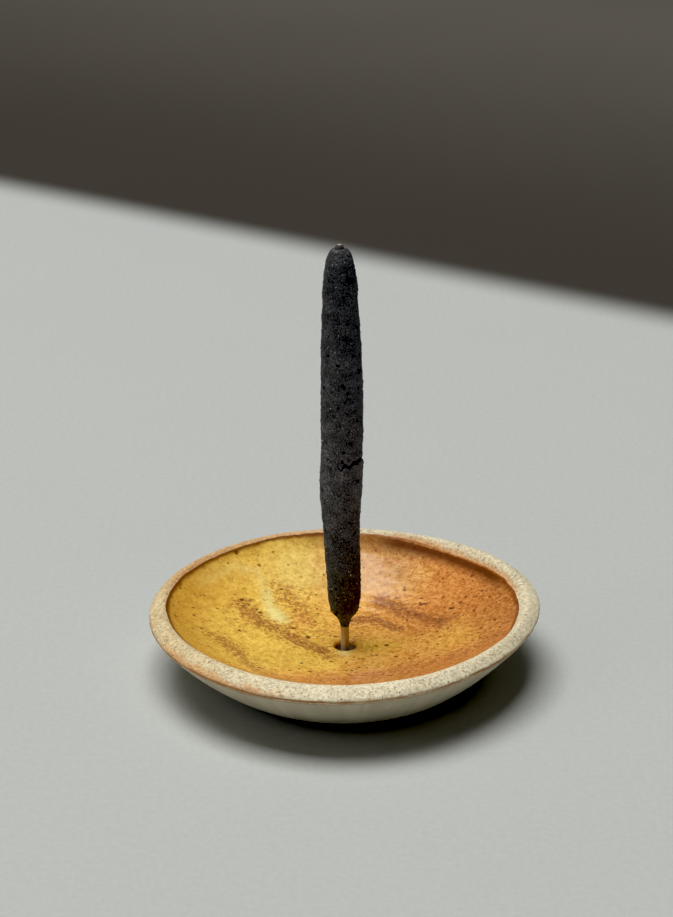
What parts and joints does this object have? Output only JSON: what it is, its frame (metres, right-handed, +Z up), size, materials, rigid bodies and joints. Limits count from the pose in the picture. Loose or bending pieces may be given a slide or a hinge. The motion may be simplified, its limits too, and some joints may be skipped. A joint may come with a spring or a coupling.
{
  "type": "incense burner",
  "caption": "Small round hand-thrown stoneware dish, amber glazed inside, with a central blind socket that holds one thick charcoal incense stick upright.",
  "frame": {"origin": "centre of the dish's flat base, on the surface that it stands on; the socket's axis runs up from it", "axes": "+Z up along the stick, -Y towards the front of the dish, +X to the right seen from the front"},
  "size_m": [0.091, 0.0909, 0.1041],
  "materials": {
    "stoneware": "matte",
    "amber_glaze": "gloss",
    "pale_glaze": "satin",
    "bamboo": "matte",
    "charcoal_paste": "matte"
  },
  "bodies": {
    "dish": {"dish_body": "stoneware", "inner_glaze": "amber_glaze", "outer_glaze": "pale_glaze"},
    "stick": {"bamboo_core": "bamboo", "incense_paste": "charcoal_paste"}
  },
  "joints": [
    {"name": "stick_lift", "type": "slide", "parent": "dish", "child": "stick", "axis": [-0.014, 0, 0.9999], "range_m": [0, 0.03]}
  ]
}
